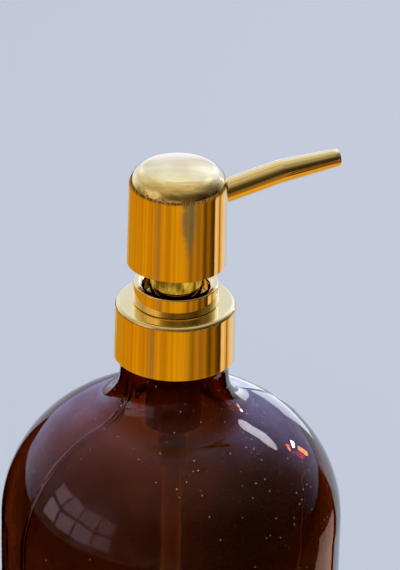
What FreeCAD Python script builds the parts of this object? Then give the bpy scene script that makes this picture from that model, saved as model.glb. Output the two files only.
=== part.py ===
import FreeCAD, Part
import Sketcher
import math
import os
import re

# Soap pump dispenser: a one-litre round glass bottle with a metal-clad lotion pump.
# Millimetres, +Z up, the origin at the centre of the ring that the bottle stands on.
# The spout points along +X. Heights named "above the collar" count from the collar's lower
# edge, which is at collar_level; everything in the pump is placed from there.

DIMENSIONS = {
    # Bottle
    "bottle_radius": 46.8,
    "bottle_wall": 3.0,
    "base_thickness": 5.5,
    "push_up": 2.5,
    "foot_width": 4.0,
    "heel_round": 9.0,
    "shoulder_radius": 35.0,
    "shoulder_level": 143.5,
    "collar_level": 193.5,
    "neck_radius": 14.6,
    "bead_radius": 14.75,
    "bead_rise": 1.5,
    "bead_drop": 2.2,
    "flare_drop": 3.0,
    "flare_radius": 15.4,
    "flare_round": 12.0,
    "finish_root": 12.6,
    "finish_crest": 13.7,
    "finish_height": 12.3,
    "bore_radius": 10.0,
    "bore_drop": 4.0,
    # Thread, one start, right-handed, six turns to the inch
    "thread_pitch": 4.233,
    "thread_turns": 1.25,
    "thread_start": 4.4,
    "thread_foot": 2.2,
    "thread_tip": 1.0,
    "thread_sink": 0.3,
    # Closure: a threaded plastic cap inside a thin metal collar
    "collar_radius": 16.5,
    "collar_top_radius": 16.3,
    "collar_height": 16.0,
    "collar_round": 1.2,
    "shell_wall": 0.6,
    "shell_gap": 0.05,
    "core_inset": 0.5,
    "core_skirt_radius": 15.1,
    "core_skirt_height": 2.2,
    "core_major": 14.1,
    "core_crest": 12.95,
    "core_pocket_radius": 13.6,
    "core_pocket_height": 11.6,
    "core_deck_height": 14.4,
    "deck_hole": 10.0,
    # Neck gasket and pump housing
    "gasket_inner": 9.8,
    "gasket_outer": 13.2,
    "flange_bottom": 13.3,
    "flange_top": 14.3,
    "housing_top": 15.9,
    "housing_outer": 8.8,
    "guide_bore": 7.4,
    "guide_ledge": 2.0,
    "cylinder_outer": 7.2,
    "cylinder_bore": 6.0,
    "cylinder_drop": 21.0,
    "ball_pocket": 2.9,
    "ball_pocket_drop": 22.5,
    "ball_seat_drop": 25.5,
    "ball_edge_drop": 26.5,
    "ball_passage": 1.7,
    "tube_socket_drop": 27.5,
    "nipple_outer": 3.8,
    "nipple_bottom": 33.0,
    # Lock ring: the metal cup that snaps on the housing over the collar
    "ring_radius": 11.5,
    "ring_inner": 9.8,
    "ring_bottom": 16.15,
    "ring_floor": 16.95,
    "ring_top": 21.8,
    "ring_hole": 7.3,
    "ring_skirt_inner": 8.85,
    "ring_skirt_outer": 9.7,
    "ring_skirt_bottom": 14.5,
    "ring_round": 0.5,
    "ring_bowl": 1.2,
    "ring_lip": 0.9,
    # Stem guide, spring, piston and hollow rod
    "guide_outer": 7.35,
    "guide_hole": 3.35,
    "spigot_radius": 4.4,
    "spigot_height": 1.6,
    "spring_mean": 5.15,
    "spring_wire": 0.9,
    "spring_turns": 11,
    "spring_clearance": 0.1,
    "rod_radius": 3.0,
    "rod_bore": 1.4,
    "rod_top": 30.0,
    "rod_foot_radius": 4.2,
    "rod_foot_drop": 8.15,
    "rod_foot_top_drop": 7.15,
    "piston_bottom_drop": 7.1,
    "piston_top_drop": 3.1,
    "piston_bore": 3.05,
    "piston_land": 5.5,
    "piston_lip": 5.93,
    "lip_height": 1.1,
    "retainer_outer": 4.6,
    "retainer_bottom_drop": 3.05,
    "retainer_top_drop": 2.1,
    # Balls
    "inlet_ball_radius": 2.4,
    "outlet_ball_radius": 2.0,
    "cage_bottom_drop": 21.0,
    "cage_top_drop": 20.2,
    "cage_hole": 1.3,
    "cage_slot_inner": 2.9,
    "cage_slot_outer": 5.0,
    "cage_slot_width": 1.6,
    # Dip tube
    "tube_outer": 2.85,
    "tube_inner": 1.95,
    "tube_bottom": 8.0,
    "tube_slant": 4.0,
    # Stem sleeve
    "sleeve_outer": 6.95,
    "sleeve_upper": 7.15,
    "sleeve_inner": 6.1,
    "sleeve_bottom": 12.0,
    "sleeve_step": 21.8,
    "sleeve_top": 36.0,
    # Head: a thin metal cap over a plastic core
    "head_radius": 13.44,
    "head_top_radius": 13.2,
    "head_bottom": 27.95,
    "head_top": 56.2,
    "crown_rise": 0.6,
    "crown_radius": 100.0,
    "head_round": 5.4,
    "head_core_bottom": 28.5,
    "head_core_inner": 12.0,
    "head_core_deck": 2.0,
    "hub_bottom": 25.0,
    "hub_upper": 6.5,
    "outlet_chamber": 2.4,
    "outlet_chamber_top": 35.0,
    "outlet_throat": 1.4,
    "outlet_throat_top": 36.5,
    "outlet_channel": 2.0,
    "outlet_channel_top": 46.0,
    "rib_bottom": 38.0,
    "rib_width": 1.2,
    "rib_sink": 0.3,
    # Spout: a metal tube, straight to a bend and then tapering, with a plastic liner
    "spout_level": 43.5,
    "spout_rise": 9.75,
    "spout_end_rise": 3.1,
    "bend_reach": 29.8,
    "tip_reach": 47.4,
    "spout_root_reach": 9.5,
    "spout_outer": 3.26,
    "spout_tip": 2.5,
    "spout_wall": 0.35,
    "spout_gap": 0.05,
    "liner_root_reach": 3.0,
    "liner_wall": 1.0,
    "liner_setback": 0.8,
}

PARTS_FOLDER = "parts"
NAME = re.compile(r"[a-z_]+(?![a-z_(])")

doc = FreeCAD.newDocument("soap_pump_dispenser")
sheet = doc.addObject("Spreadsheet::Sheet", "dims")
nodes = []


def fill_sheet():
    """Write each driving dimension on its own row, with its name as the alias."""
    for row, (name, number) in enumerate(DIMENSIONS.items(), start=1):
        sheet.set(f"A{row}", name)
        sheet.set(f"B{row}", str(number))
        sheet.setAlias(f"B{row}", name)
    doc.recompute()


def bound(expression):
    """The expression with each dimension's name read from the sheet."""
    return NAME.sub(lambda word: f"dims.{word[0]}" if word[0] in DIMENSIONS else word[0], expression)


def number(expression):
    return float(sheet.evalExpression(expression))


def raised(offset):
    """A height above the collar's lower edge, as an expression."""
    return f"collar_level + {offset}"


def lowered(offset):
    return f"collar_level - ({offset})"


def node(label, item):
    """Give the finished piece the name that its file takes."""
    item.Label = label
    nodes.append(item)
    return item


# --- Sketches and features -------------------------------------------------------------------


def new_body(name):
    return doc.addObject("PartDesign::Body", name)


def sketch_on(body, name, role="XZ_Plane"):
    sketch = body.newObject("Sketcher::SketchObject", name)
    plane = next(item for item in body.Origin.OriginFeatures if item.Role == role)
    sketch.AttachmentSupport = [(plane, "")]
    sketch.MapMode = "FlatFace"
    return sketch


def arc_between(start, end, radius, turn):
    """The shorter arc from start to end; turn is 1 for anticlockwise and -1 for clockwise."""
    chord = end - start
    middle = (start + end) / 2
    left = FreeCAD.Vector(-chord.y, chord.x, 0).normalize()
    rise = math.sqrt(max(radius**2 - (chord.Length / 2) ** 2, 0))
    centre = middle + left * (rise * turn)
    first, last = (start, end) if turn > 0 else (end, start)
    angles = [math.atan2(point.y - centre.y, point.x - centre.x) for point in (first, last)]
    circle = Part.Circle(centre, FreeCAD.Vector(0, 0, 1), radius)
    return Part.ArcOfCircle(circle, angles[0], angles[1])


def draw_outline(sketch, outline):
    """Draw a closed outline and bind it to the sheet.

    Each corner is (x, y), or (x, y, radius, turn) where an arc leads to it from the corner before.
    """
    corners = [FreeCAD.Vector(number(corner[0]), number(corner[1]), 0) for corner in outline]
    count = len(corners)
    ends = []
    for index in range(count):
        after = (index + 1) % count
        start, end = corners[index], corners[after]
        if len(outline[after]) == 2:
            edge = sketch.addGeometry(Part.LineSegment(start, end))
            ends.append((edge, 1, 2))
            continue
        radius, turn = outline[after][2:]
        edge = sketch.addGeometry(arc_between(start, end, number(radius), turn))
        ends.append((edge, 1, 2) if turn > 0 else (edge, 2, 1))
        bind(sketch, Sketcher.Constraint("Radius", edge, number(radius)), radius)
    for index, corner in enumerate(outline):
        edge, start, _ = ends[index]
        before, _, end = ends[index - 1]
        sketch.addConstraint(Sketcher.Constraint("Coincident", before, end, edge, start))
        for kind, axis, expression in (("DistanceX", -2, corner[0]), ("DistanceY", -1, corner[1])):
            if expression == "0":
                sketch.addConstraint(Sketcher.Constraint("PointOnObject", edge, start, axis))
                continue
            bind(sketch, Sketcher.Constraint(kind, edge, start, number(expression)), expression)


def bind(sketch, constraint, expression):
    index = sketch.addConstraint(constraint)
    sketch.setExpression(f"Constraints[{index}]", bound(expression))


def revolved(name, outline):
    """A body turned about the vertical axis from an outline of (radius, height) corners."""
    body = new_body(name)
    sketch = sketch_on(body, f"{name}_outline")
    draw_outline(sketch, outline)
    turn = body.newObject("PartDesign::Revolution", f"{name}_turn")
    turn.Profile = sketch
    turn.ReferenceAxis = (sketch, ["V_Axis"])
    turn.Angle = 360
    sketch.Visibility = False
    doc.recompute()
    return body


def rounded(body, radius, places):
    """Round the circular edges at these (radius, height) places of the body."""
    base = body.Tip
    wanted = [(number(across), number(height)) for across, height in places]
    names = []
    for index, edge in enumerate(base.Shape.Edges, start=1):
        if edge.Degenerated or not isinstance(edge.Curve, Part.Circle):
            continue
        found = (edge.Curve.Radius, edge.Curve.Center.z)
        if any(math.dist(found, place) < 0.01 for place in wanted):
            names.append(f"Edge{index}")
    if len(names) != len(wanted):
        raise RuntimeError(f"{body.Name}: {len(names)} edges found for {len(wanted)} places")
    fillet = body.newObject("PartDesign::Fillet", f"{body.Name}_round")
    fillet.Base = (base, names)
    fillet.setExpression("Radius", bound(radius))
    doc.recompute()


def threaded(body, foot, tip, start):
    """Run a thread of trapezoid section about the body, from the foot radius to the tip radius."""
    sketch = sketch_on(body, f"{body.Name}_thread_section")
    section = [
        (foot, f"{start} - thread_foot / 2"),
        (tip, f"{start} - thread_tip / 2"),
        (tip, f"{start} + thread_tip / 2"),
        (foot, f"{start} + thread_foot / 2"),
    ]
    draw_outline(sketch, section)
    doc.recompute()
    thread = body.newObject("PartDesign::AdditiveHelix", f"{body.Name}_thread")
    thread.Profile = sketch
    thread.ReferenceAxis = (sketch, ["V_Axis"])
    thread.Mode = "pitch-turns-angle"
    thread.setExpression("Pitch", bound("thread_pitch"))
    thread.setExpression("Turns", bound("thread_turns"))
    sketch.Visibility = False
    doc.recompute()


def extruded(body, kind, name, outline, role):
    """A pad or pocket that runs evenly both ways from the plane its outline is drawn on."""
    sketch = sketch_on(body, f"{name}_outline", role)
    draw_outline(sketch, outline)
    feature = body.newObject(kind, name)
    feature.Profile = sketch
    feature.Midplane = True
    sketch.Visibility = False
    return feature


def padded(body, name, outline, width):
    feature = extruded(body, "PartDesign::Pad", name, outline, "XZ_Plane")
    feature.setExpression("Length", bound(width))
    doc.recompute()
    return feature


def cut_through(body, name, outline, role="XZ_Plane"):
    feature = extruded(body, "PartDesign::Pocket", name, outline, role)
    feature.Type = "ThroughAll"
    doc.recompute()
    return feature


def patterned(body, feature, count, axis="V_Axis"):
    """Repeat a feature round the vertical axis, which its sketch knows under this name."""
    pattern = body.newObject("PartDesign::PolarPattern", f"{feature.Name}_pattern")
    pattern.Originals = [feature]
    pattern.Axis = (feature.Profile[0], [axis])
    pattern.Angle = 360
    pattern.Occurrences = count
    body.Tip = pattern
    doc.recompute()


# --- Placed sections and tools for the spout ---------------------------------------------------


def at_reach(item, reach, tilt):
    """Put an item on the spout's axis at this distance from the stem, its own axis along it."""
    item.setExpression("Placement.Base.x", bound(reach))
    item.setExpression("Placement.Base.z", bound(spout_height(reach)))
    item.Placement.Rotation = FreeCAD.Rotation(FreeCAD.Vector(0, 1, 0), 90)
    item.setExpression("Placement.Rotation.Angle", bound(f"90 - ({tilt})"))


def spout_height(reach):
    """The height of the spout's axis at a reach, before or after the bend."""
    root = raised("spout_level")
    if number(reach) <= number("bend_reach"):
        return f"{root} + ({reach}) * tan(spout_rise)"
    bend = "bend_reach * tan(spout_rise)"
    return f"{root} + {bend} + (({reach}) - bend_reach) * tan(spout_end_rise)"


def spout_loft(name, root_reach, root_radius, tip_reach, tip_radius):
    """A ruled solid through circles at the root, the bend and the tip."""
    stations = [
        (root_reach, root_radius, "spout_rise"),
        ("bend_reach", root_radius, "(spout_rise + spout_end_rise) / 2"),
        (tip_reach, tip_radius, "spout_end_rise"),
    ]
    sections = []
    for index, (reach, radius, tilt) in enumerate(stations):
        circle = doc.addObject("Part::Circle", f"{name}_section_{index}")
        circle.setExpression("Radius", bound(radius))
        at_reach(circle, reach, tilt)
        sections.append(circle)
    loft = doc.addObject("Part::Loft", name)
    loft.Sections = sections
    loft.Solid = True
    loft.Ruled = True
    doc.recompute()
    return loft


def spout_drill(name, root_reach, length, radius):
    """A cylinder along the spout's axis, to cut its hole in the head."""
    drill = doc.addObject("Part::Cylinder", name)
    drill.setExpression("Radius", bound(radius))
    drill.setExpression("Height", bound(length))
    at_reach(drill, root_reach, "spout_rise")
    return drill


def cut(name, base, tool):
    result = doc.addObject("Part::Cut", name)
    result.Base = base
    result.Tool = tool
    doc.recompute()
    return result


# --- The pieces ------------------------------------------------------------------------------


def bottle():
    """Round bottle with a heel, a domed shoulder, a flared neck and a threaded finish."""
    shoulder_centre = "bottle_radius - shoulder_radius"
    inner_radius = "bottle_radius - bottle_wall"
    inner_arc = "shoulder_radius - bottle_wall"
    inner_flare = "flare_radius - bottle_wall"
    foot = "bottle_radius - heel_round"

    def on_arc(across, radius):
        return f"shoulder_level + sqrt(({radius})^2 - ({across} - ({shoulder_centre}))^2)"

    flare_height = on_arc("flare_radius", "shoulder_radius")
    inner_flare_height = on_arc(inner_flare, inner_arc)
    outline = [
        ("0", "push_up"),
        (f"{foot} - foot_width - push_up * 2", "push_up"),
        (f"{foot} - foot_width", "0"),
        (foot, "0"),
        ("bottle_radius", "heel_round", "heel_round", 1),
        ("bottle_radius", "shoulder_level"),
        ("flare_radius", flare_height, "shoulder_radius", 1),
        ("neck_radius", lowered("flare_drop")),
        ("neck_radius", lowered("bead_drop")),
        ("bead_radius", lowered("bead_drop")),
        ("bead_radius", raised("bead_rise")),
        ("finish_root", raised("bead_rise")),
        ("finish_root", raised("finish_height")),
        ("bore_radius", raised("finish_height")),
        ("bore_radius", lowered("bore_drop")),
        (inner_flare, inner_flare_height),
        (inner_radius, "shoulder_level", inner_arc, -1),
        (inner_radius, "base_thickness + heel_round"),
        (f"{inner_radius} - heel_round", "base_thickness", "heel_round", -1),
        ("0", "base_thickness"),
    ]
    body = revolved("bottle", outline)
    rounded(body, "flare_round", [("flare_radius", flare_height)])
    rounded(body, "flare_round + bottle_wall", [(inner_flare, inner_flare_height)])
    threaded(body, "finish_root - thread_sink", "finish_crest", raised("thread_start"))
    return node("bottle", body)


def closure_shell():
    """Thin metal collar that hides the threaded cap."""
    top = raised("collar_height")
    under = f"{top} - shell_wall"
    outline = [
        ("collar_radius", "collar_level"),
        ("collar_top_radius", top),
        ("deck_hole", top),
        ("deck_hole", under),
        ("collar_top_radius - shell_wall", under),
        ("collar_radius - shell_wall", "collar_level"),
    ]
    body = revolved("closure_shell", outline)
    rounded(body, "collar_round", [("collar_top_radius", top)])
    return node("closure_shell", body)


def closure_core():
    """Threaded cap: skirt, thread bore, pocket for the flange and gasket, and a deck with a hole."""
    top = f"{raised('collar_height')} - shell_wall - shell_gap"
    pocket = raised("core_pocket_height")
    outline = [
        ("core_skirt_radius", raised("core_inset")),
        ("collar_radius - shell_wall - shell_gap", raised("core_inset")),
        ("collar_top_radius - shell_wall - shell_gap", top),
        ("deck_hole", top),
        ("deck_hole", raised("core_deck_height")),
        ("core_pocket_radius", raised("core_deck_height")),
        ("core_pocket_radius", pocket),
        ("core_major", f"{pocket} - core_major + core_pocket_radius"),
        ("core_major", raised("core_skirt_height")),
        ("core_skirt_radius", raised("core_skirt_height")),
    ]
    body = revolved("closure_core", outline)
    rounded(body, "collar_round - shell_wall", [("collar_top_radius - shell_wall - shell_gap", top)])
    quarter = raised("thread_start - thread_pitch / 4")
    threaded(body, "core_major + thread_sink", "core_crest", quarter)
    body.Placement.Rotation = FreeCAD.Rotation(FreeCAD.Vector(0, 0, 1), 90)
    return node("closure_core", body)


def neck_gasket():
    """Flat ring between the bottle's rim and the housing's flange."""
    outline = [
        ("gasket_inner", raised("finish_height")),
        ("gasket_outer", raised("finish_height")),
        ("gasket_outer", raised("flange_bottom")),
        ("gasket_inner", raised("flange_bottom")),
    ]
    return node("neck_gasket", revolved("neck_gasket", outline))


def pump_housing():
    """Flange, guide bore, piston cylinder, ball pocket and the nipple that holds the dip tube."""
    outline = [
        ("guide_bore", raised("housing_top")),
        ("guide_bore", lowered("guide_ledge")),
        ("cylinder_bore", lowered("guide_ledge")),
        ("cylinder_bore", lowered("cylinder_drop")),
        ("ball_pocket", lowered("ball_pocket_drop")),
        ("ball_pocket", lowered("ball_seat_drop")),
        ("ball_passage", lowered("ball_edge_drop")),
        ("ball_passage", lowered("tube_socket_drop")),
        ("tube_outer", lowered("tube_socket_drop")),
        ("tube_outer", lowered("nipple_bottom")),
        ("nipple_outer", lowered("nipple_bottom")),
        ("nipple_outer", lowered("ball_pocket_drop + nipple_outer - ball_pocket")),
        ("cylinder_outer", lowered("cylinder_drop")),
        ("cylinder_outer", lowered("guide_ledge + housing_outer - cylinder_outer")),
        ("housing_outer", lowered("guide_ledge")),
        ("housing_outer", raised("flange_bottom")),
        ("gasket_outer", raised("flange_bottom")),
        ("gasket_outer", raised("flange_top")),
        ("housing_outer", raised("flange_top")),
        ("housing_outer", raised("housing_top")),
    ]
    return node("pump_housing", revolved("pump_housing", outline))


def lock_ring():
    """Metal cup round the stem, with a broad lip and a skirt that snaps on the housing."""
    outline = [
        ("ring_hole", raised("ring_bottom")),
        ("ring_skirt_inner", raised("ring_bottom")),
        ("ring_skirt_inner", raised("ring_skirt_bottom")),
        ("ring_skirt_outer", raised("ring_skirt_bottom")),
        ("ring_skirt_outer", raised("ring_bottom")),
        ("ring_radius", raised("ring_bottom")),
        ("ring_radius", raised("ring_top")),
        ("ring_inner", raised("ring_top")),
        ("ring_inner", raised("ring_floor")),
        ("ring_hole", raised("ring_floor")),
    ]
    body = revolved("lock_ring", outline)
    rounded(body, "ring_round", [("ring_radius", raised("ring_top"))])
    rounded(body, "ring_bowl", [("ring_inner", raised("ring_floor"))])
    rounded(body, "ring_lip", [("ring_inner", raised("ring_top"))])
    return node("lock_ring", body)


def stem_guide():
    """Disc at the foot of the guide bore: it centres the rod and carries the spring."""
    outline = [
        ("guide_hole", lowered("guide_ledge")),
        ("guide_outer", lowered("guide_ledge")),
        ("guide_outer", "collar_level"),
        ("spigot_radius", "collar_level"),
        ("spigot_radius", raised("spigot_height")),
        ("guide_hole", raised("spigot_height")),
    ]
    return node("stem_guide", revolved("stem_guide", outline))


def return_spring():
    """Compression spring between the stem guide and the head's hub."""
    body = new_body("return_spring")
    sketch = sketch_on(body, "spring_section")
    start = raised("spring_wire / 2 + spring_clearance")
    at = FreeCAD.Vector(number("spring_mean"), number(start), 0)
    wire = sketch.addGeometry(Part.Circle(at, FreeCAD.Vector(0, 0, 1), number("spring_wire / 2")))
    bind(sketch, Sketcher.Constraint("Radius", wire, number("spring_wire / 2")), "spring_wire / 2")
    bind(sketch, Sketcher.Constraint("DistanceX", wire, 3, at.x), "spring_mean")
    bind(sketch, Sketcher.Constraint("DistanceY", wire, 3, at.y), start)
    doc.recompute()
    coil = body.newObject("PartDesign::AdditiveHelix", "spring_coil")
    coil.Profile = sketch
    coil.ReferenceAxis = (sketch, ["V_Axis"])
    coil.Mode = "height-turns-angle"
    coil.setExpression("Height", bound("hub_bottom - spring_wire - 2 * spring_clearance"))
    coil.setExpression("Turns", bound("spring_turns"))
    sketch.Visibility = False
    doc.recompute()
    return node("return_spring", body)


def piston():
    """Sliding seal with a lip at each end of its land."""
    top = lowered("piston_top_drop")
    bottom = lowered("piston_bottom_drop")
    outline = [
        ("piston_bore", bottom),
        ("piston_lip", bottom),
        ("piston_lip", f"{bottom} + lip_height / 2"),
        ("piston_land", f"{bottom} + lip_height"),
        ("piston_land", f"{top} - lip_height"),
        ("piston_lip", f"{top} - lip_height / 2"),
        ("piston_lip", top),
        ("piston_bore", top),
    ]
    return node("piston", revolved("piston", outline))


def piston_retainer():
    """Ring pressed on the rod above the piston; it also stops the rod under the stem guide."""
    outline = [
        ("rod_radius", lowered("retainer_bottom_drop")),
        ("retainer_outer", lowered("retainer_bottom_drop")),
        ("retainer_outer", lowered("retainer_top_drop")),
        ("rod_radius", lowered("retainer_top_drop")),
    ]
    return node("piston_retainer", revolved("piston_retainer", outline))


def piston_rod():
    """Hollow rod with a foot under the piston and a ball seat at its top."""
    outline = [
        ("rod_bore", lowered("rod_foot_drop")),
        ("rod_foot_radius", lowered("rod_foot_drop")),
        ("rod_foot_radius", lowered("rod_foot_top_drop")),
        ("rod_radius", lowered("rod_foot_top_drop")),
        ("rod_radius", raised("rod_top")),
        ("rod_bore", raised("rod_top")),
    ]
    return node("piston_rod", revolved("piston_rod", outline))


def ball(label, radius, seat_radius, seat_height):
    """A ball resting on the round edge of its seat, whose radius and height are given."""
    sphere = doc.addObject("Part::Sphere", label)
    sphere.setExpression("Radius", bound(radius))
    rest = f"{seat_height} + sqrt({radius} ^ 2 - ({seat_radius}) ^ 2)"
    sphere.setExpression("Placement.Base.z", bound(rest))
    doc.recompute()
    return node(label, sphere)


def inlet_ball_cage():
    """Slotted disc that keeps the inlet ball in its pocket."""
    outline = [
        ("cage_hole", lowered("cage_bottom_drop")),
        ("cylinder_bore", lowered("cage_bottom_drop")),
        ("cylinder_bore", lowered("cage_top_drop")),
        ("cage_hole", lowered("cage_top_drop")),
    ]
    body = revolved("inlet_ball_cage", outline)
    slot = [
        ("cage_slot_inner", "-cage_slot_width / 2"),
        ("cage_slot_outer", "-cage_slot_width / 2"),
        ("cage_slot_outer", "cage_slot_width / 2"),
        ("cage_slot_inner", "cage_slot_width / 2"),
    ]
    patterned(body, cut_through(body, "cage_slot", slot, "XY_Plane"), 4, "N_Axis")
    return node("inlet_ball_cage", body)


def dip_tube():
    """Straight tube from the housing's nipple to just above the bottle's floor, cut at a slant."""
    outline = [
        ("tube_inner", "tube_bottom"),
        ("tube_outer", "tube_bottom"),
        ("tube_outer", lowered("tube_socket_drop")),
        ("tube_inner", lowered("tube_socket_drop")),
    ]
    body = revolved("dip_tube", outline)
    slant = [
        ("-tube_outer", "tube_bottom"),
        ("tube_outer", "tube_bottom"),
        ("-tube_outer", "tube_bottom + tube_slant"),
    ]
    cut_through(body, "slant_cut", slant)
    return node("dip_tube", body)


def stem_sleeve():
    """Metal sleeve over the stem: a narrower lower band under a slightly wider upper one."""
    outline = [
        ("sleeve_inner", raised("sleeve_bottom")),
        ("sleeve_outer", raised("sleeve_bottom")),
        ("sleeve_outer", raised("sleeve_step")),
        ("sleeve_upper", raised("sleeve_step")),
        ("sleeve_upper", raised("sleeve_top")),
        ("sleeve_inner", raised("sleeve_top")),
    ]
    return node("stem_sleeve", revolved("stem_sleeve", outline))


def head_shell():
    """Thin metal cap of the press head, with a low crown and a hole for the spout."""
    top = raised("head_top")
    edge = f"{top} - crown_rise"
    inner_top = "head_top_radius - shell_wall"
    outline = [
        ("head_radius", raised("head_bottom")),
        ("head_top_radius", edge),
        ("0", top, "crown_radius", 1),
        ("0", f"{top} - shell_wall"),
        (inner_top, f"{edge} - shell_wall", "crown_radius", -1),
        ("head_radius - shell_wall", raised("head_bottom")),
    ]
    body = revolved("head_cap", outline)
    rounded(body, "head_round", [("head_top_radius", edge)])
    rounded(body, "head_round - shell_wall", [(inner_top, f"{edge} - shell_wall")])
    hole = spout_drill("head_hole", "spout_root_reach", "spout_root_reach", "spout_outer + spout_gap")
    return node("head_shell", cut("head_shell_bored", body, hole))


def head_core():
    """Plastic core of the head: skirt, deck, ribs and a hub with the outlet ball's chamber."""
    outer = "head_radius - shell_wall - shell_gap"
    outer_top = "head_top_radius - shell_wall - shell_gap"
    top = f"{raised('head_top')} - crown_rise - shell_wall - shell_gap"
    under = f"{top} - head_core_deck"
    outline = [
        ("head_core_inner", raised("head_core_bottom")),
        (outer, raised("head_core_bottom")),
        (outer_top, top),
        ("0", top),
        ("0", raised("outlet_channel_top")),
        ("outlet_channel", raised("outlet_channel_top")),
        ("outlet_channel", raised("outlet_throat_top")),
        ("outlet_throat", raised("outlet_throat_top")),
        ("outlet_throat", raised("outlet_chamber_top")),
        ("outlet_chamber", raised("outlet_chamber_top")),
        ("outlet_chamber", raised("rod_top")),
        ("rod_radius", raised("rod_top")),
        ("rod_radius", raised("hub_bottom")),
        ("sleeve_inner", raised("hub_bottom")),
        ("sleeve_inner", raised("sleeve_top")),
        ("hub_upper", raised("sleeve_top")),
        ("hub_upper", under),
        ("head_core_inner", under),
    ]
    body = revolved("head_core_blank", outline)
    rounded(body, "head_round - shell_wall", [(outer_top, top)])
    rib = [
        ("-head_core_inner - rib_sink", raised("rib_bottom")),
        ("-hub_upper + rib_sink", raised("rib_bottom")),
        ("-hub_upper + rib_sink", f"{under} + rib_sink"),
        ("-head_core_inner - rib_sink", f"{under} + rib_sink"),
    ]
    patterned(body, padded(body, "head_rib", rib, "rib_width"), 3)
    socket = spout_drill("liner_socket", "0", "spout_root_reach", "spout_outer - spout_wall")
    hole_radius = "spout_outer + spout_gap"
    hole = spout_drill("skirt_hole", "spout_root_reach", "spout_root_reach", hole_radius)
    return node("head_core", cut("head_core_bored", cut("head_core_socket", body, socket), hole))


def spout_tube():
    """Metal spout, open at both ends, straight to its bend and tapered from there to the tip."""
    outside = spout_loft("spout_outside", "spout_root_reach", "spout_outer", "tip_reach", "spout_tip")
    inner = ("spout_outer - spout_wall", "spout_tip - spout_wall")
    inside = spout_loft("spout_inside", "spout_root_reach", inner[0], "tip_reach", inner[1])
    return node("spout_tube", cut("spout_tube_bored", outside, inside))


def spout_liner():
    """Plastic tube inside the spout, from the hub's channel to just short of the tip."""
    end = "tip_reach - liner_setback"
    outer = ("spout_outer - spout_wall", "spout_tip - spout_wall")
    inner = [f"{radius} - liner_wall" for radius in outer]
    outside = spout_loft("liner_outside", "liner_root_reach", outer[0], end, outer[1])
    inside = spout_loft("liner_inside", "liner_root_reach", inner[0], end, inner[1])
    return node("spout_liner", cut("spout_liner_bored", outside, inside))


def check_document():
    """Stop if any object failed, or if a piece's shape isn't a valid solid."""
    failed = [item.Name for item in doc.Objects if {"Invalid", "Error"} & set(item.State)]
    if failed:
        raise RuntimeError(f"failed objects: {failed}")
    for item in nodes:
        shape = item.Shape
        if shape.isNull() or not shape.isValid() or len(shape.Solids) != 1:
            raise RuntimeError(f"{item.Label} is not one valid solid")


def write_parts():
    os.makedirs(PARTS_FOLDER, exist_ok=True)
    for item in nodes:
        item.Shape.exportStep(os.path.join(PARTS_FOLDER, f"{item.Label}.step"))
        print(f"{item.Label}: {item.Shape.Volume:.1f} mm3")


fill_sheet()
bottle()
closure_shell()
closure_core()
neck_gasket()
pump_housing()
inlet_ball_cage()
ball("inlet_ball", "inlet_ball_radius", "ball_passage", lowered("ball_edge_drop"))
dip_tube()
lock_ring()
stem_guide()
return_spring()
piston()
piston_retainer()
piston_rod()
ball("outlet_ball", "outlet_ball_radius", "rod_bore", raised("rod_top"))
stem_sleeve()
head_core()
head_shell()
spout_tube()
spout_liner()
doc.recompute()
check_document()
write_parts()
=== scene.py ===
import math

import bmesh
import bpy
from mathutils import Matrix, Vector, noise

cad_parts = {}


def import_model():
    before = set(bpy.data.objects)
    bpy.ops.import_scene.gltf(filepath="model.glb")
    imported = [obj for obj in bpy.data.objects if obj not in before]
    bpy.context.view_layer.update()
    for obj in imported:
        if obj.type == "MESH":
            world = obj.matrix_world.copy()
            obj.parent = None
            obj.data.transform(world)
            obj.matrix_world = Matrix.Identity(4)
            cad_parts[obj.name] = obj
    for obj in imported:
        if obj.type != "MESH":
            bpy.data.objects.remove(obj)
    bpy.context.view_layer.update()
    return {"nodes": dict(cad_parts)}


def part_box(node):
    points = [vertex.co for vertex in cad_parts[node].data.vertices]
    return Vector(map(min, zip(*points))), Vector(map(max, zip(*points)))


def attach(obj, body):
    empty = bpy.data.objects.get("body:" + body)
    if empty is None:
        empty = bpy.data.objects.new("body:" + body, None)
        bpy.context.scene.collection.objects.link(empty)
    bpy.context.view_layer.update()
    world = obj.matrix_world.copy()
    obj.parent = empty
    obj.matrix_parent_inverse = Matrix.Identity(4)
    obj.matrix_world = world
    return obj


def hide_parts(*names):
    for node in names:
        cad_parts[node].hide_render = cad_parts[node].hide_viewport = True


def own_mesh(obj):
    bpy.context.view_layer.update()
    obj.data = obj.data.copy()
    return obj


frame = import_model()

# A gold lotion pump on a dark amber glass bottle. Metres, +Z up, the spout along +X.
# Every piece that shows is turned or swept again here with fine curves, because polished metal and
# glass show each facet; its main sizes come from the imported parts, and its place never changes.

MM = 0.001
TAU = 2 * math.pi
ROUND_STEPS = 224
Z_AXIS = Vector((0, 0, 1))


# --- Outlines and meshes ----------------------------------------------------------------------


def arc(centre, radius, start, end, steps):
    """Points on an arc in the (radius, height) plane, angles in degrees from outwards."""
    points = []
    for step in range(steps + 1):
        angle = math.radians(start + (end - start) * step / steps)
        points.append((centre[0] + radius * math.cos(angle), centre[1] + radius * math.sin(angle)))
    return points


def line(start, end, steps):
    """Points from start to end, both included, so that a long wall has faces of even length."""
    return [
        (
            start[0] + (end[0] - start[0]) * step / steps,
            start[1] + (end[1] - start[1]) * step / steps,
        )
        for step in range(steps + 1)
    ]


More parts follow.
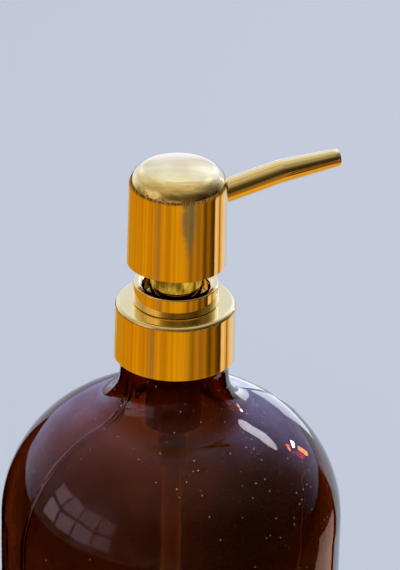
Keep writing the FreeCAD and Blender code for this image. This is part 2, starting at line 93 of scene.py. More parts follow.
def softened(points, radius, steps=5):
    """The closed outline with each sharp corner replaced by a small arc of about this radius."""
    result = []
    count = len(points)
    for index, corner in enumerate(points):
        here = Vector(corner)
        before = Vector(points[index - 1]) - here
        after = Vector(points[(index + 1) % count]) - here
        if before.length < 1e-9 or after.length < 1e-9:
            continue
        turn = math.pi - before.angle(after)
        if turn < math.radians(12):
            result.append(corner)
            continue
        reach = min(radius * math.tan(turn / 2), before.length * 0.45, after.length * 0.45)
        first, last = here + before.normalized() * reach, here + after.normalized() * reach
        for step in range(steps + 1):
            t = step / steps
            point = first * (1 - t) ** 2 + here * (2 * t * (1 - t)) + last * t**2
            result.append((point.x, point.y))
    return result


def placed(name, data):
    """A new object in the scene: a mesh, a light or a camera."""
    item = bpy.data.objects.new(name, data)
    bpy.context.scene.collection.objects.link(item)
    return item


def mesh_object(name, verts, faces, material, crease=40):
    mesh = bpy.data.meshes.new(name)
    mesh.from_pydata(verts, [], faces)
    mesh.validate()
    made = bmesh.new()
    made.from_mesh(mesh)
    bmesh.ops.remove_doubles(made, verts=made.verts, dist=1e-7)
    bmesh.ops.recalc_face_normals(made, faces=made.faces)
    made.to_mesh(mesh)
    made.free()
    mesh.materials.append(material)
    piece = placed(name, mesh)
    mesh.shade_smooth()
    mesh.set_sharp_from_angle(angle=math.radians(crease))
    return piece


def even_angles(steps):
    return [TAU * step / steps for step in range(steps)]


def turned(name, outline, material, shape=None, angles=None, crease=40):
    """A closed outline of (radius, height) points turned about the vertical axis.

    shape, if given, moves each point: it takes the point's radius, height and angle.
    """
    verts, faces = [], []
    count = len(outline)
    angles = angles or even_angles(ROUND_STEPS)
    steps = len(angles)
    for angle in angles:
        for radius, height in outline:
            if shape and radius > 1e-6:
                radius, height = shape(radius, height, angle)
            verts.append((radius * math.cos(angle), radius * math.sin(angle), height))
    for step in range(steps):
        here, there = step * count, (step + 1) % steps * count
        for index in range(count):
            after = (index + 1) % count
            if outline[index][0] < 1e-6 and outline[after][0] < 1e-6:
                continue
            faces.append((here + index, there + index, there + after, here + after))
    return mesh_object(name, verts, faces, material, crease)


def swept(name, stations, material, steps=96, crease=40):
    """A closed tube wall through rings of (centre, direction, radius), in order round the wall."""
    verts, faces = [], []
    for centre, direction, radius in stations:
        side = direction.cross(Vector((0, 1, 0))).normalized()
        lift = Vector((0, 1, 0))
        for step in range(steps):
            angle = TAU * step / steps
            verts.append(centre + (side * math.cos(angle) + lift * math.sin(angle)) * radius)
    rings = len(stations)
    for ring in range(rings):
        after = (ring + 1) % rings
        for step in range(steps):
            ahead = (step + 1) % steps
            here, there = ring * steps, after * steps
            faces.append((here + step, here + ahead, there + ahead, there + step))
    return mesh_object(name, [tuple(v) for v in verts], faces, material, crease)


# --- Materials --------------------------------------------------------------------------------


class Nodes:
    """A short way to write the nodes of a material, or of the world."""

    def __init__(self, name=None, world=None):
        self.material = world or bpy.data.materials.new(name)
        self.material.use_nodes = True
        self.tree = self.material.node_tree
        self.shader = self.tree.nodes.get("Principled BSDF") or self.tree.nodes["Background"]

    def add(self, kind, **values):
        node = self.tree.nodes.new(kind)
        for key, value in values.items():
            if key in node.inputs:
                node.inputs[key].default_value = value
            else:
                setattr(node, key, value)
        return node

    def link(self, output, target):
        self.tree.links.new(output, target)

    def place(self, scale=(1, 1, 1)):
        """Object coordinates in metres, stretched by scale."""
        where = self.add("ShaderNodeTexCoord")
        mapping = self.add("ShaderNodeMapping")
        mapping.inputs["Scale"].default_value = scale
        self.link(where.outputs["Object"], mapping.inputs["Vector"])
        return mapping.outputs["Vector"]

    def noise(self, vector, scale, detail=3.0, roughness=0.55):
        made = self.add("ShaderNodeTexNoise", Scale=scale, Detail=detail, Roughness=roughness)
        self.link(vector, made.inputs["Vector"])
        return made.outputs["Fac"]

    def ramp(self, value, stops):
        made = self.add("ShaderNodeValToRGB")
        elements = made.color_ramp.elements
        elements[0].position, elements[1].position = stops[0][0], stops[-1][0]
        elements[0].color, elements[1].color = rgba(stops[0][1]), rgba(stops[-1][1])
        for position, colour in stops[1:-1]:
            elements.new(position).color = rgba(colour)
        self.link(value, made.inputs["Fac"])
        return made.outputs["Color"]

    def span(self, value, low, high, start=0.0, end=1.0):
        """The value, from start..end, spread over low..high."""
        made = self.add("ShaderNodeMapRange")
        made.inputs["From Min"].default_value = start
        made.inputs["From Max"].default_value = end
        made.inputs["To Min"].default_value = low
        made.inputs["To Max"].default_value = high
        self.link(value, made.inputs["Value"])
        return made.outputs["Result"]

    def maths(self, operation, first, second):
        made = self.add("ShaderNodeMath", operation=operation)
        for value, target in ((first, made.inputs[0]), (second, made.inputs[1])):
            if isinstance(value, (int, float)):
                target.default_value = value
            else:
                self.link(value, target)
        return made.outputs[0]

    def along(self, vector, direction):
        """How far the vector points in this direction: -1 away from it, 1 straight along it."""
        made = self.add("ShaderNodeVectorMath", operation="DOT_PRODUCT")
        made.inputs[1].default_value = direction
        self.link(vector, made.inputs[0])
        return made.outputs["Value"]

    def mixed(self, first, second, share):
        """Colours from first to second as share goes from 0 to 1."""
        made = self.add("ShaderNodeMix", data_type="RGBA")
        for value, target in ((first, made.inputs[6]), (second, made.inputs[7])):
            if isinstance(value, tuple):
                target.default_value = rgba(value)
            else:
                self.link(value, target)
        self.link(share, made.inputs["Factor"])
        return made.outputs[2]

    def bump(self, height, distance, onto=None):
        made = self.add("ShaderNodeBump", Strength=1.0, Distance=distance)
        self.link(height, made.inputs["Height"])
        if onto is not None:
            self.link(onto, made.inputs["Normal"])
        return made.outputs["Normal"]

    def set(self, **values):
        for key, value in values.items():
            self.shader.inputs[key.replace("_", " ")].default_value = value

    def shine(self, colour, strength=None):
        """Swap the usual shader for one that glows with this colour, and give its output."""
        emission = self.add("ShaderNodeEmission")
        self.link(colour, emission.inputs["Color"])
        if strength is not None:
            self.link(strength, emission.inputs["Strength"])
        self.tree.nodes.remove(self.shader)
        return emission.outputs[0]

    def cover(self, shader):
        self.link(shader, self.tree.nodes["Material Output"].inputs["Surface"])


def rgba(colour):
    return (*colour, 1.0) if len(colour) == 3 else colour


GOLD = (1.0, 0.74, 0.24)
GOLD_DEEP = (0.97, 0.69, 0.19)


def polished_gold(name):
    """Gold plating under clear lacquer: a mirror with a little cloudiness, dust and orange peel."""
    n = Nodes(name)
    n.set(Metallic=1.0, Coat_Weight=1.0, Coat_Roughness=0.02, Coat_IOR=1.45)
    where = n.place()
    uneven = n.ramp(n.noise(where, 90.0, 4.0), [(0.35, GOLD_DEEP), (0.65, GOLD)])
    n.link(uneven, n.shader.inputs["Base Color"])
    specks = n.ramp(n.noise(where, 2600.0, 2.0), [(0.69, (0, 0, 0)), (0.75, (1, 1, 1))])
    rub = n.span(n.noise(n.place((1, 1, 9)), 240.0, 5.0), 0.02, 0.09)
    dusty = n.maths("MULTIPLY", specks, 0.3)
    n.link(n.maths("ADD", dusty, rub), n.shader.inputs["Roughness"])
    waves = n.bump(n.noise(where, 130.0, 2.0), 0.00003)
    peel = n.bump(n.noise(where, 1100.0, 2.0), 0.0000018, onto=waves)
    n.link(peel, n.shader.inputs["Normal"])
    return n.material


def amber_glass(name):
    """Dark amber bottle glass: clear, tinted by its depth, with faint moulded waves and dust."""
    n = Nodes(name)
    # Painted shade: the specular tint below white dims and colours the glass's reflections,
    # standing in for a darker room round the bottle.
    n.set(Base_Color=(1, 1, 1, 1), IOR=1.5, Specular_Tint=(0.46, 0.38, 0.40, 1))
    where = n.place()
    waves = n.bump(n.noise(n.place((1, 1, 0.5)), 60.0, 2.0), 0.00025)
    n.link(waves, n.shader.inputs["Normal"])
    cells = n.add("ShaderNodeTexVoronoi", Scale=680.0)
    n.link(where, cells.inputs["Vector"])
    dot = n.span(cells.outputs["Distance"], 1.0, 0.0, 0.05, 0.11)
    chosen = n.add("ShaderNodeSeparateColor")
    n.link(cells.outputs["Color"], chosen.inputs[0])
    settled = n.span(n.along(where, (0.55, -0.6, 1.6)), 0.965, 0.50, 0.26, 0.30)
    dust = n.maths("MULTIPLY", dot, n.maths("GREATER_THAN", chosen.outputs[0], settled))
    smear = n.span(n.noise(where, 40.0, 4.0), 0.0, 0.035, 0.4, 0.8)
    n.link(n.maths("ADD", smear, n.maths("MULTIPLY", dust, 0.5)), n.shader.inputs["Roughness"])
    n.link(n.span(dust, 1.0, 0.1), n.shader.inputs["Transmission Weight"])
    depth = n.add("ShaderNodeVolumeAbsorption")
    depth.inputs["Color"].default_value = (0.76, 0.50, 0.20, 1)
    depth.inputs["Density"].default_value = 1000.0
    output = n.tree.nodes["Material Output"]
    n.link(depth.outputs["Volume"], output.inputs["Volume"])
    return n.material


def clear_plastic(name):
    """Undyed plastic that lets light through, clouded by its own grain."""
    n = Nodes(name)
    n.set(Transmission_Weight=0.85, IOR=1.48)
    where = n.place()
    cloudy, pale = (0.86, 0.80, 0.70), (0.95, 0.92, 0.86)
    uneven = n.ramp(n.noise(where, 260.0, 3.0), [(0.3, cloudy), (0.7, pale)])
    n.link(uneven, n.shader.inputs["Base Color"])
    n.link(n.span(n.noise(where, 700.0, 3.0), 0.22, 0.42), n.shader.inputs["Roughness"])
    n.link(n.bump(n.noise(where, 1800.0, 2.0), 0.00001), n.shader.inputs["Normal"])
    return n.material


def moulded_plastic(name, colour, shade, rough=(0.35, 0.5)):
    """Plain moulded plastic with a fine grain and a little unevenness of colour."""
    n = Nodes(name)
    where = n.place()
    uneven = n.ramp(n.noise(where, 300.0, 3.0), [(0.3, shade), (0.7, colour)])
    n.link(uneven, n.shader.inputs["Base Color"])
    n.link(n.span(n.noise(where, 900.0, 3.0), *rough), n.shader.inputs["Roughness"])
    n.link(n.bump(n.noise(where, 2500.0, 2.0), 0.00001), n.shader.inputs["Normal"])
    return n.material


def drawn_steel(name):
    n = Nodes(name)
    n.set(Metallic=1.0)
    where = n.place()
    uneven = n.ramp(n.noise(where, 500.0), [(0.3, (0.5, 0.5, 0.5)), (0.7, (0.68, 0.67, 0.66))])
    n.link(uneven, n.shader.inputs["Base Color"])
    n.link(n.span(n.noise(where, 1500.0, 4.0), 0.15, 0.35), n.shader.inputs["Roughness"])
    return n.material


gold = polished_gold("polished_gold")
glass = amber_glass("amber_glass")
white = moulded_plastic("white_plastic", (0.80, 0.79, 0.75), (0.72, 0.71, 0.66))
natural = moulded_plastic("natural_plastic", (0.78, 0.72, 0.62), (0.70, 0.63, 0.52))
clear = clear_plastic("clear_plastic")
gasket = moulded_plastic("gasket_foam", (0.62, 0.62, 0.60), (0.52, 0.52, 0.50), (0.6, 0.8))
steel = drawn_steel("drawn_steel")


# --- Pieces -----------------------------------------------------------------------------------


def extents(node):
    """A round node's outer radius, lowest and highest height."""
    low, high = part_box(node)
    return (high.y - low.y) / 2, low.z, high.z


collar_radius, collar_low, collar_high = extents("closure_shell")


def stand_for(piece, node, body):
    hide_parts(node)
    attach(piece, body)
    return piece


def bottle():
    """Heel, body, domed shoulder, flared neck with a bead, and the threaded finish as a rim."""
    body_radius, _, rim = extents("bottle")
    wall = 3.0 * MM
    shoulder, shoulder_height = 35.0 * MM, 143.5 * MM
    centre = (body_radius - shoulder, shoulder_height)
    heel, push_up, floor = 9.0 * MM, 2.5 * MM, 5.5 * MM
    foot = body_radius - heel
    neck, root, bead, finish, bore = 14.6 * MM, 15.4 * MM, 14.75 * MM, 12.6 * MM, 10.0 * MM
    level, turn, ledge = collar_low, 12.0 * MM, 1.5 * MM
    inner, inner_root = shoulder - wall, root - wall
    inner_foot = floor + heel
    outline = [(0, push_up)]
    outline += line((4 * MM, push_up), (foot - 9 * MM, push_up), 8)
    outline += line((foot - 4 * MM, 0), (foot, 0), 3)
    outline += arc((foot, heel), heel, -90, 0, 20)[1:]
    outline += line((body_radius, heel + 4 * MM), (body_radius, shoulder_height - 4 * MM), 24)
    top = (neck, level - 3.0 * MM)
    outline += shoulder_to_neck(centre, shoulder, top, (root, level - 15.2 * MM), turn)
    outline += [(neck, level - 2.4 * MM), (bead, level - 2.0 * MM)]
    outline += [(bead, level + 1.2 * MM), (bead - 0.3 * MM, level + ledge), (finish, level + ledge)]
    outline += [(finish, rim - 0.5 * MM), (finish - 0.5 * MM, rim), (bore + 0.5 * MM, rim)]
    outline += [(bore, rim - 0.5 * MM)]
    top = (bore, level - 4 * MM)
    inside = shoulder_to_neck(centre, inner, top, (inner_root, level - 18.0 * MM), turn + wall)
    outline += list(reversed(inside))
    side = body_radius - wall
    outline += line((side, shoulder_height - 4 * MM), (side, inner_foot + 4 * MM), 20)
    outline += arc((foot - wall, inner_foot), heel, 0, -90, 16)
    outline += line((foot - wall - 4 * MM, floor), (4 * MM, floor), 8) + [(0, floor)]
    wave, seam_rise, seam_width = 0.18 * MM, 0.3 * MM, 0.5 * MM
    seam_at = math.radians(185)

    def moulded(radius, height, angle):
        """Faint waves of the blown wall, and a fine raised seam on each side of the mould."""
        point = Vector((math.cos(angle), math.sin(angle), height * 18)) * 1.7
        if height < level - 3 * MM and radius > 15 * MM:
            radius += noise.noise(point) * wave
        outer = radius > body_radius - 1.0 * MM or height > shoulder_height - 4 * MM
        if outer and height < level - 6 * MM:
            gap = math.remainder(angle - seam_at, math.pi) * radius
            radius += seam_rise * math.exp(-((gap / seam_width) ** 2))
        return radius, height

    # The angles crowd together at each seam, so that its narrow ridge has faces enough.
    angles, crowded, half_count = even_angles(230), 0.045, 12
    for seam in (seam_at, seam_at - math.pi):
        angles = [angle for angle in angles if abs(math.remainder(angle - seam, TAU)) > crowded]
        for step in range(-half_count, half_count + 1):
            angles.append(seam + crowded * math.sin(step * math.pi / 2 / half_count) ** 3)
    piece = turned("amber_bottle", outline, glass, moulded, sorted(angles), crease=60)
    return stand_for(piece, "bottle", "bottle")


def shoulder_to_neck(centre, radius, top, foot, turn):
    """The shoulder's arc, the hollow arc that turns it upwards, and the neck up to its top."""
    side = (Vector(top) - Vector(foot)).normalized()
    out = Vector((side.y, -side.x))
    across, height = top[0] + turn, top[1]
    for _ in range(20):
        height = centre[1] + math.sqrt((radius + turn) ** 2 - (across - centre[0]) ** 2)
        across = top[0] + (turn - (height - top[1]) * out.y) / out.x
    meet = math.degrees(math.atan2(height - centre[1], across - centre[0]))
    lean = 180 + math.degrees(math.atan2(out.y, out.x))
    hollow = arc((across, height), turn, 180 + meet, lean, 30)
    return arc(centre, radius, 0, meet, 60) + hollow[1:] + [top]


def collar():
    radius, low, high = collar_radius, collar_low, collar_high
    top_radius = radius - 0.2 * MM
    wall, edge, hole = 0.6 * MM, 1.2 * MM, 10.0 * MM
    outline = [(radius - 0.25 * MM, low), (radius, low + 0.25 * MM)]
    outline += line((radius, low + 1 * MM), (top_radius, high - edge - 1 * MM), 6)
    outline += arc((top_radius - edge, high - edge), edge, 0, 90, 14)
    outline += line((top_radius - edge - 0.4 * MM, high), (hole + 0.4 * MM, high), 4)
    outline += [(hole, high - 0.2 * MM), (hole, high - wall), (top_radius - 2 * wall, high - wall)]
    outline += [(top_radius - wall, high - 2 * wall), (radius - wall, low + 0.2 * MM)]
    outline += [(radius - wall + 0.1 * MM, low)]
    piece = turned("gold_collar", outline, gold)
    return stand_for(piece, "closure_shell", "closure")


def cup_ring():
    """The cup round the stem: a broad lip, a deep groove with a rounded foot, and a snap skirt."""
    radius, low, high = extents("lock_ring")
    foot = collar_high + 0.15 * MM
    floor, inner, hole = foot + 0.8 * MM, 8.75 * MM, 7.3 * MM
    edge, lip, bowl = 0.4 * MM, 1.5 * MM, 0.5 * MM
    skirt_in, skirt_out = 8.85 * MM, 9.7 * MM
    outline = [(radius - 0.2 * MM, foot), (radius, foot + 0.2 * MM)]
    outline += line((radius, foot + 0.8 * MM), (radius, high - 0.8 * MM), 4)
    outline += arc((radius - edge, high - edge), edge, 0, 90, 10)
    outline += [(radius - 0.5 * MM, high)]
    outline += arc((inner + lip, high - lip), lip, 90, 175, 20)
    outline += line((inner, high - lip - 0.2 * MM), (inner, floor + bowl + 0.1 * MM), 3)
    outline += arc((inner - bowl, floor + bowl), bowl, 0, -90, 14)
    outline += [(hole + 0.3 * MM, floor), (hole, floor - 0.2 * MM), (hole, foot)]
    outline += [(skirt_in, foot), (skirt_in, low), (skirt_out, low), (skirt_out, foot)]
    piece = turned("gold_cup_ring", outline, gold)
    return stand_for(piece, "lock_ring", "pump_body")


def sleeve():
    radius, low, high = extents("stem_sleeve")
    step, lower, bore = collar_low + 21.8 * MM, 6.95 * MM, 6.1 * MM
    outline = [(bore, low), (lower, low), (lower, step)]
    outline += [(radius, step), (radius, high), (bore, high)]
    piece = turned("gold_stem_sleeve", softened(outline, 0.12 * MM), gold)
    return stand_for(piece, "stem_sleeve", "head")


def head():
    radius, low, high = extents("head_shell")
    top_radius, crown, rounding, wall = radius - 0.24 * MM, 0.6 * MM, 5.4 * MM, 0.6 * MM
    spring_line = high - crown - rounding

    def dome(outer, lift, turn, top):
        """The rounded shoulder and the low crown, from the side wall to the axis."""
        points = arc((outer - turn, lift - turn), turn, 0, 84, 26)
        edge = points[-1]
        steps = 14
        for step in range(1, steps + 1):
            t = 1 - step / steps
            points.append((edge[0] * t, edge[1] + (top - edge[1]) * (1 - t * t)))
        return points

    outline = [(radius - 0.3 * MM, low), (radius, low + 0.2 * MM)]
    outline += line((radius, low + 1 * MM), (top_radius, spring_line - 1 * MM), 10)
    outline += dome(top_radius, high - crown, rounding, high)
    inner = dome(top_radius - wall, high - crown - wall, rounding - wall, high - wall)
    outline += list(reversed(inner))
    outline += line((top_radius - wall, spring_line - 1 * MM), (radius - wall, low + 0.2 * MM), 6)
    piece = turned("gold_head", outline, gold)
    return stand_for(piece, "head_shell", "head")


def spout_path():
    """The spout's axis: its root, its bend and its tip, and the ways its two runs point."""
    rise, end_rise = math.radians(9.75), math.radians(3.1)
    root_height = collar_low + 43.5 * MM
    bend_reach, tip_reach = 29.8 * MM, 47.4 * MM
    first = Vector((math.cos(rise), 0, math.sin(rise)))
    second = Vector((math.cos(end_rise), 0, math.sin(end_rise)))
    root = Vector((9.5 * MM, 0, root_height + 9.5 * MM * math.tan(rise)))
    bend = Vector((bend_reach, 0, root_height + bend_reach * math.tan(rise)))
    tip = bend + second * ((tip_reach - bend_reach) / math.cos(end_rise))
    return root, bend, tip, first, second


def along_spout(outer, tip_outer, steps=8):
    """Rings from the root to the tip, with a tight bend between the two straight runs."""
    root, bend, tip, first, second = spout_path()
    half_bend = 0.5 * MM
    rings = []
    for step in range(steps + 1):
        t = step / steps
        rings.append((root.lerp(bend - first * half_bend, t), first, outer))
    for step in range(1, 5):
        t = step / 5
        start, end = bend - first * half_bend, bend + second * half_bend
        centre = start * (1 - t) ** 2 + bend * (2 * t * (1 - t)) + end * t**2
        rings.append((centre, first.lerp(second, t).normalized(), outer))
    for step in range(steps + 1):
        t = step / steps
        centre = (bend + second * half_bend).lerp(tip, t)
        rings.append((centre, second, outer + (tip_outer - outer) * t))
    return rings


def spout():
    wall = 0.35 * MM
    outside = along_spout(3.26 * MM, 2.5 * MM)
    inside = [(centre, way, radius - wall) for centre, way, radius in outside]
    lip_centre, lip_way, lip_radius = outside.pop()
    back = 0.15 * MM
    outside += [
        (lip_centre - lip_way * back, lip_way, lip_radius),
        (lip_centre - lip_way * back * 0.3, lip_way, lip_radius - back * 0.3),
        (lip_centre, lip_way, lip_radius - back),
    ]
    piece = swept("gold_spout", outside + list(reversed(inside)), gold)
    return stand_for(piece, "spout_tube", "head")


def spring():
    """The return spring from the stem guide up to the head's hub, closed at both ends."""
    low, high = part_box("return_spring")[0].z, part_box("return_spring")[1].z
    wire, mean = 0.45 * MM, 5.15 * MM
    turns, per_turn, round_wire = 11, 40, 12
    end_turns, squeeze = 1.2, 0.28
    bottom, top = low + wire, high - wire
    count = turns * per_turn
    verts, faces = [], []
    for step in range(count + 1):
        share = step / count
        angle = TAU * turns * share
        open_share = min(share * turns, (1 - share) * turns, end_turns) / end_turns
        end = bottom if share < 0.5 else top
        even = bottom + (top - bottom) * share
        height = end + (even - end) * (1 - squeeze * (1 - open_share))
        out = Vector((math.cos(angle), math.sin(angle), 0))
        for side in range(round_wire):
            turn = TAU * side / round_wire
            ring = out * (mean + wire * math.cos(turn)) + Z_AXIS * (height + wire * math.sin(turn))
            verts.append(tuple(ring))
    for step in range(count):
        for side in range(round_wire):
            ahead = (side + 1) % round_wire
            here, there = step * round_wire, (step + 1) * round_wire
            faces.append((here + side, here + ahead, there + ahead, there + side))
    faces.append(tuple(range(round_wire)))
    faces.append(tuple(reversed(range(count * round_wire, count * round_wire + round_wire))))
    piece = mesh_object("steel_return_spring", verts, faces, steel)
    stand_for(piece, "return_spring", "pump_body")
    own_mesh(piece)


def finish_nodes():
    """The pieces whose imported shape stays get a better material."""
    kept = {
        "closure_core": white,
        "neck_gasket": gasket,
        "pump_housing": clear,
        "inlet_ball_cage": white,
        "inlet_ball": steel,
        "dip_tube": clear,
        "stem_guide": white,
        "piston": natural,
        "piston_retainer": white,
        "piston_rod": white,
        "outlet_ball": steel,
        "head_core": white,
        "spout_liner": natural,
    }
    for name, material in kept.items():
        item = frame["nodes"][name]
        item.data.materials.clear()
        item.data.materials.append(material)


# --- Stage ------------------------------------------------------------------------------------


def unseen_by(item, *rays):
    for ray in rays:
        setattr(item, f"visible_{ray}", False)


def only_for(item, pieces):
    """Let this light, or glowing board, fall on these pieces alone."""
    group = bpy.data.collections.new(f"{item.name}_receivers")
    for piece in pieces:
        group.objects.link(piece)
    item.light_linking.receiver_collection = group


def through_all(item):
    """Let this light reach its pieces through whatever encloses them."""
    item.light_linking.blocker_collection = bpy.data.collections.new(f"{item.name}_blockers")


def flat_grid(name, size, segments):
    made = bmesh.new()
    bmesh.ops.create_grid(made, x_segments=segments, y_segments=segments, size=size)
    mesh = bpy.data.meshes.new(name)
    made.to_mesh(mesh)
    made.free()
    return mesh


def floor():
    """A plain pale floor, faintly uneven like painted board."""
    mesh = flat_grid("floor", 6.0, 8)
    n = Nodes("pale_floor")
    where = n.place()
    darker, lighter = (0.685, 0.74, 0.735), (0.725, 0.77, 0.765)
    uneven = n.ramp(n.noise(where, 1.4, 2.0), [(0.3, darker), (0.7, lighter)])
    n.link(uneven, n.shader.inputs["Base Color"])
    n.set(Roughness=0.85)
    n.shader.inputs["Specular IOR Level"].default_value = 0.1
    mesh.materials.append(n.material)
    plane = placed("floor", mesh)


AWAY = math.radians(63.6)  # the way the camera looks, anticlockwise from +X
BACK = (math.cos(AWAY), math.sin(AWAY), 0)


def bounce_board():
    """Warm boards and dark gaps on the floor round the bottle, seen only in the gold."""
    opening, covered, steps, radius = math.radians(88), math.radians(294), 96, 5.9
    verts, faces = [(0, 0, 0)], []
    for step in range(steps + 1):
        angle = opening + covered * step / steps
        verts.append((radius * math.cos(angle), radius * math.sin(angle), 0))
    for step in range(steps):
        faces.append((0, step + 1, step + 2))
    mesh = bpy.data.meshes.new("bounce_board")
    mesh.from_pydata(verts, [], faces)
    n = Nodes("bounce_board")
    where = n.add("ShaderNodeTexCoord").outputs["Object"]
    radial = n.add("ShaderNodeTexGradient", gradient_type="RADIAL")
    n.link(where, radial.inputs["Vector"])
    length = n.add("ShaderNodeVectorMath", operation="LENGTH")
    n.link(where, length.inputs[0])
    reach = length.outputs["Value"]

    def at(degrees):
        """Where this direction, anticlockwise from +X, falls on the radial gradient."""
        return ((degrees + 180) % 360) / 360

    orange, amber, brown = (0.58, 0.27, 0.006), (0.62, 0.33, 0.03), (0.36, 0.17, 0.012)
    dull, shade, dark = (0.40, 0.20, 0.05), (0.13, 0.06, 0.003), (0.07, 0.032, 0.004)
    pale, cream = (0.86, 0.62, 0.42), (0.96, 0.92, 1.0)
    cards = [
        (-180, orange),
        (-169, orange),
        (-166, dull),
        (-155, dull),
        (-152, orange),
        (-121, (0.60, 0.30, 0.006)),
        (-97, (0.60, 0.31, 0.01)),
        (-84, brown),
        (-64, (0.40, 0.19, 0.015)),
        (-56, brown),
        (-52, shade),
        (-46, shade),
        (-39, (0.27, 0.125, 0.004)),
        (-33, (0.20, 0.09, 0.003)),
        (-28, dark),
        (-22, dark),
        (-19, pale),
        (-7, pale),
        (-4, (0.30, 0.14, 0.006)),
        (-1, amber),
        (9, pale),
        (18, cream),
        (88, (0.66, 0.42, 0.12)),
        (104, amber),
        (128, orange),
        (179.9, orange),
    ]
    colour = n.ramp(radial.outputs["Fac"], [(at(way), tone) for way, tone in cards])
    aside = n.maths("ABSOLUTE", n.maths("SUBTRACT", radial.outputs["Fac"], at(-88)), 0)
    width = n.span(reach, 0.0, 0.062, 0.482, 0.522)
    edge = n.maths("SUBTRACT", width, aside)
    colour = n.mixed(colour, (0.21, 0.165, 0.12), n.span(edge, 0.0, 1.0, 0.0, 0.022))
    close = n.span(reach, 1.0, 0.0, 0.28, 0.38)
    colour = n.mixed(colour, (0.74, 0.43, 0.07), close)
    # Fine streaks, as from boards that aren't quite even, and gloom out towards the horizon.
    spin = n.add("ShaderNodeVectorMath", operation="NORMALIZE")
    n.link(where, spin.inputs[0])
    broad = n.span(n.noise(spin.outputs["Vector"], 5.0, 2.0), 0.80, 1.20, 0.35, 0.65)
    fine = n.span(n.noise(spin.outputs["Vector"], 17.0, 2.0), 0.84, 1.12, 0.35, 0.65)
    streaks = n.maths("MULTIPLY", broad, fine)
    gloom = n.span(reach, 0.0, 1.0, 0.56, 1.0)
    mottle = n.noise(spin.outputs["Vector"], 14.0, 3.0)
    mottle = n.ramp(mottle, [(0.42, (0.05, 0.03, 0.015)), (0.62, (0.36, 0.22, 0.1))])
    n.cover(n.shine(n.mixed(colour, mottle, gloom), streaks))
    mesh.materials.append(n.material)
    board = placed("bounce_board", mesh)
    board.location.z = 0.5 * MM
    unseen_by(board, "camera", "diffuse", "transmission", "volume_scatter", "shadow")
    only_for(board, gold_pieces)


def cup_glow():
    """A yellow glow in front of the stem, as from light caught in the cup, seen only there."""
    lip, gap = extents("lock_ring")[2], extents("head_shell")[1] - extents("lock_ring")[2]
    radius, bottom, top = 8.5 * MM, lip - 1.6 * MM, lip + 0.6 * gap
    towards_camera, half_width, steps = AWAY + math.pi, math.radians(95), 32
    verts, faces = [], []
    for step in range(steps + 1):
        angle = towards_camera + half_width * (2 * step / steps - 1)
        for height in (bottom, top):
            verts.append((radius * math.cos(angle), radius * math.sin(angle), height))
    for step in range(steps):
        faces.append((2 * step, 2 * step + 2, 2 * step + 3, 2 * step + 1))
    mesh = bpy.data.meshes.new("cup_glow")
    mesh.from_pydata(verts, [], faces)
    n = Nodes("cup_glow")
    mottle = n.noise(n.place((1, 1, 0.45)), 330.0, 3.0)
    mottle = n.ramp(mottle, [(0.40, (0.16, 0.11, 0.02)), (0.62, (0.72, 0.62, 0.17))])
    n.cover(n.shine(mottle))
    mesh.materials.append(n.material)
    card = placed("cup_glow", mesh)
    unseen_by(card, "camera", "diffuse", "transmission", "volume_scatter", "shadow")
    only_for(card, [stem_piece])


def glow_card():
    """A dim warm card behind the bottle, seen only through glass: lighter above and at the left."""
    mesh = flat_grid("glow_card", 0.11, 1)
    n = Nodes("glow_card")
    where = n.add("ShaderNodeTexCoord").outputs["Object"]
    across = n.span(n.along(where, (1, 0, 0)), 1.0, 0.36, -0.012, 0.024)
    height = n.span(n.along(where, (0, 1, 0)), 0.0, 1.0, -0.02, 0.04)
    tone = n.ramp(
        height,
        [
            (0.0, (0.10, 0.08, 0.06)),
            (0.25, (0.20, 0.16, 0.14)),
            (0.55, (0.42, 0.36, 0.33)),
            (0.9, (0.64, 0.58, 0.56)),
        ],
    )
    cloud = n.span(n.noise(where, 30.0, 3.0), 0.75, 1.25, 0.3, 0.7)
    # It fades away at its rim, so that no hard edge shows through the bottle from another side.
    from_middle = n.add("ShaderNodeVectorMath", operation="LENGTH")
    n.link(where, from_middle.inputs[0])
    faded = n.add("ShaderNodeMixShader")
    n.link(n.span(from_middle.outputs["Value"], 0.0, 1.0, 0.062, 0.108), faded.inputs[0])
    n.link(n.shine(tone, n.maths("MULTIPLY", across, cloud)), faded.inputs[1])
    n.link(n.add("ShaderNodeBsdfTransparent").outputs[0], faded.inputs[2])
    n.cover(faded.outputs[0])
    mesh.materials.append(n.material)
    card = placed("glow_card", mesh)
    card.location = Vector(BACK) * 0.09 + Z_AXIS * 0.112
    card.rotation_euler = (math.pi / 2, 0, AWAY - math.pi / 2)
    unseen_by(card, "camera", "diffuse", "glossy", "volume_scatter", "shadow")


def lamp(name, azimuth, elevation, distance, size, radiance, colour=(1, 1, 1), target=0.2):
    """An area light in this direction from the bottle, turned towards it, of this brightness."""
    data = bpy.data.lights.new(name, "AREA")
    data.shape = "RECTANGLE"
    data.size, data.size_y = size
    data.energy = radiance * math.pi * size[0] * size[1]
    data.color = colour
    item = placed(name, data)
    a, e = math.radians(azimuth), math.radians(elevation)
    way = Vector((math.cos(a) * math.cos(e), math.sin(a) * math.cos(e), math.sin(e)))
    item.location = Vector((0, 0, target)) + way * distance
    item.rotation_euler = way.to_track_quat("Z", "Y").to_euler()
    return item


